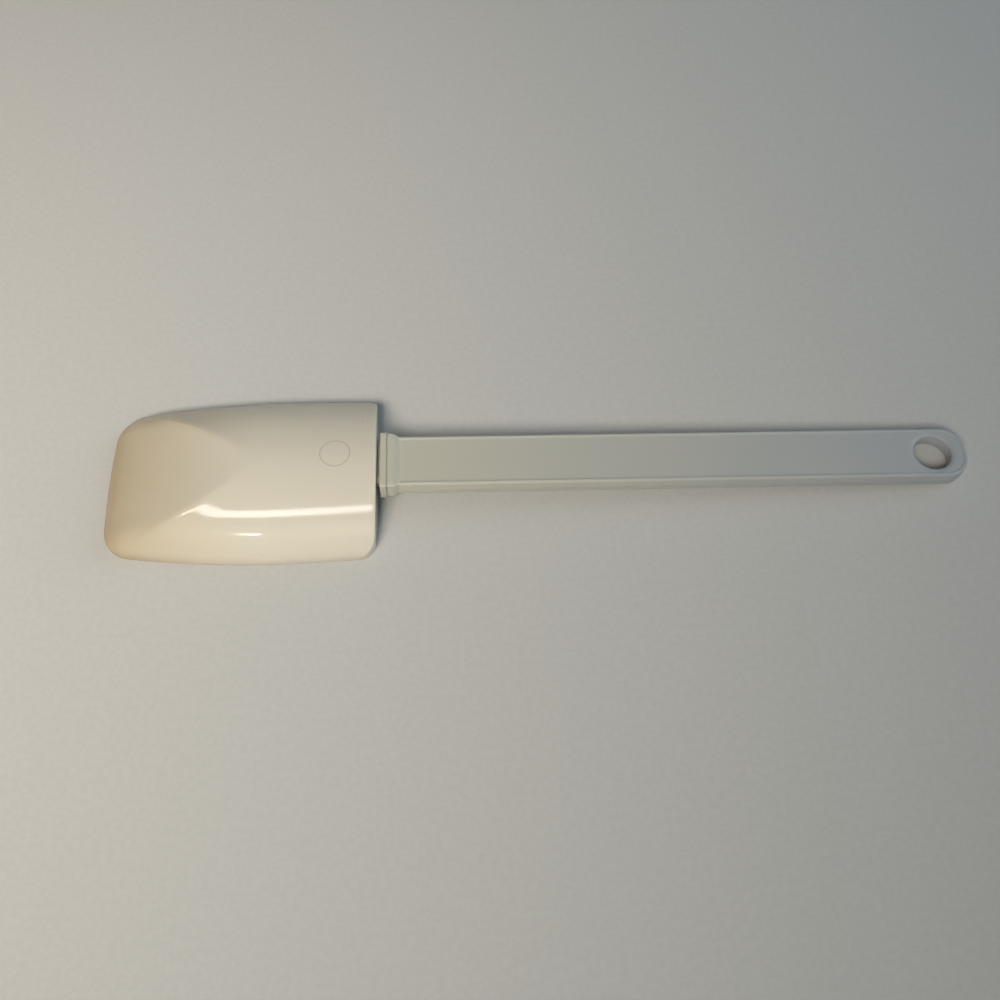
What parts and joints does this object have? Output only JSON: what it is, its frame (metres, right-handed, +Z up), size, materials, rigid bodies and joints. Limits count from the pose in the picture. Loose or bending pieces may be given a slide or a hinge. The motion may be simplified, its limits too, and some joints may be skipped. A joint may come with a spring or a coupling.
{
  "type": "spoon spatula",
  "caption": "Spoon spatula: a flexible spoon-shaped blade pushed onto a long stiff flat handle with a hanging hole, for folding, scraping and scooping food.",
  "frame": {"origin": "under the middle of the tool's length and width, on the surface it lies on", "axes": "+X along the tool from the tip of the head to the hanging end of the handle, +Y across it, +Z up from the bowl side to the back of the head"},
  "size_m": [0.343, 0.0724, 0.0184],
  "materials": {
    "handle_plastic": "satin",
    "head_plastic": "glossy"
  },
  "bodies": {
    "handle": {"handle": "handle_plastic"},
    "head": {"head": "head_plastic"}
  },
  "joints": [
    {"name": "head_pull_off", "type": "slide", "parent": "handle", "child": "head", "axis": [-0.9994, 0, 0.034], "range_m": [0, 0.052]}
  ]
}
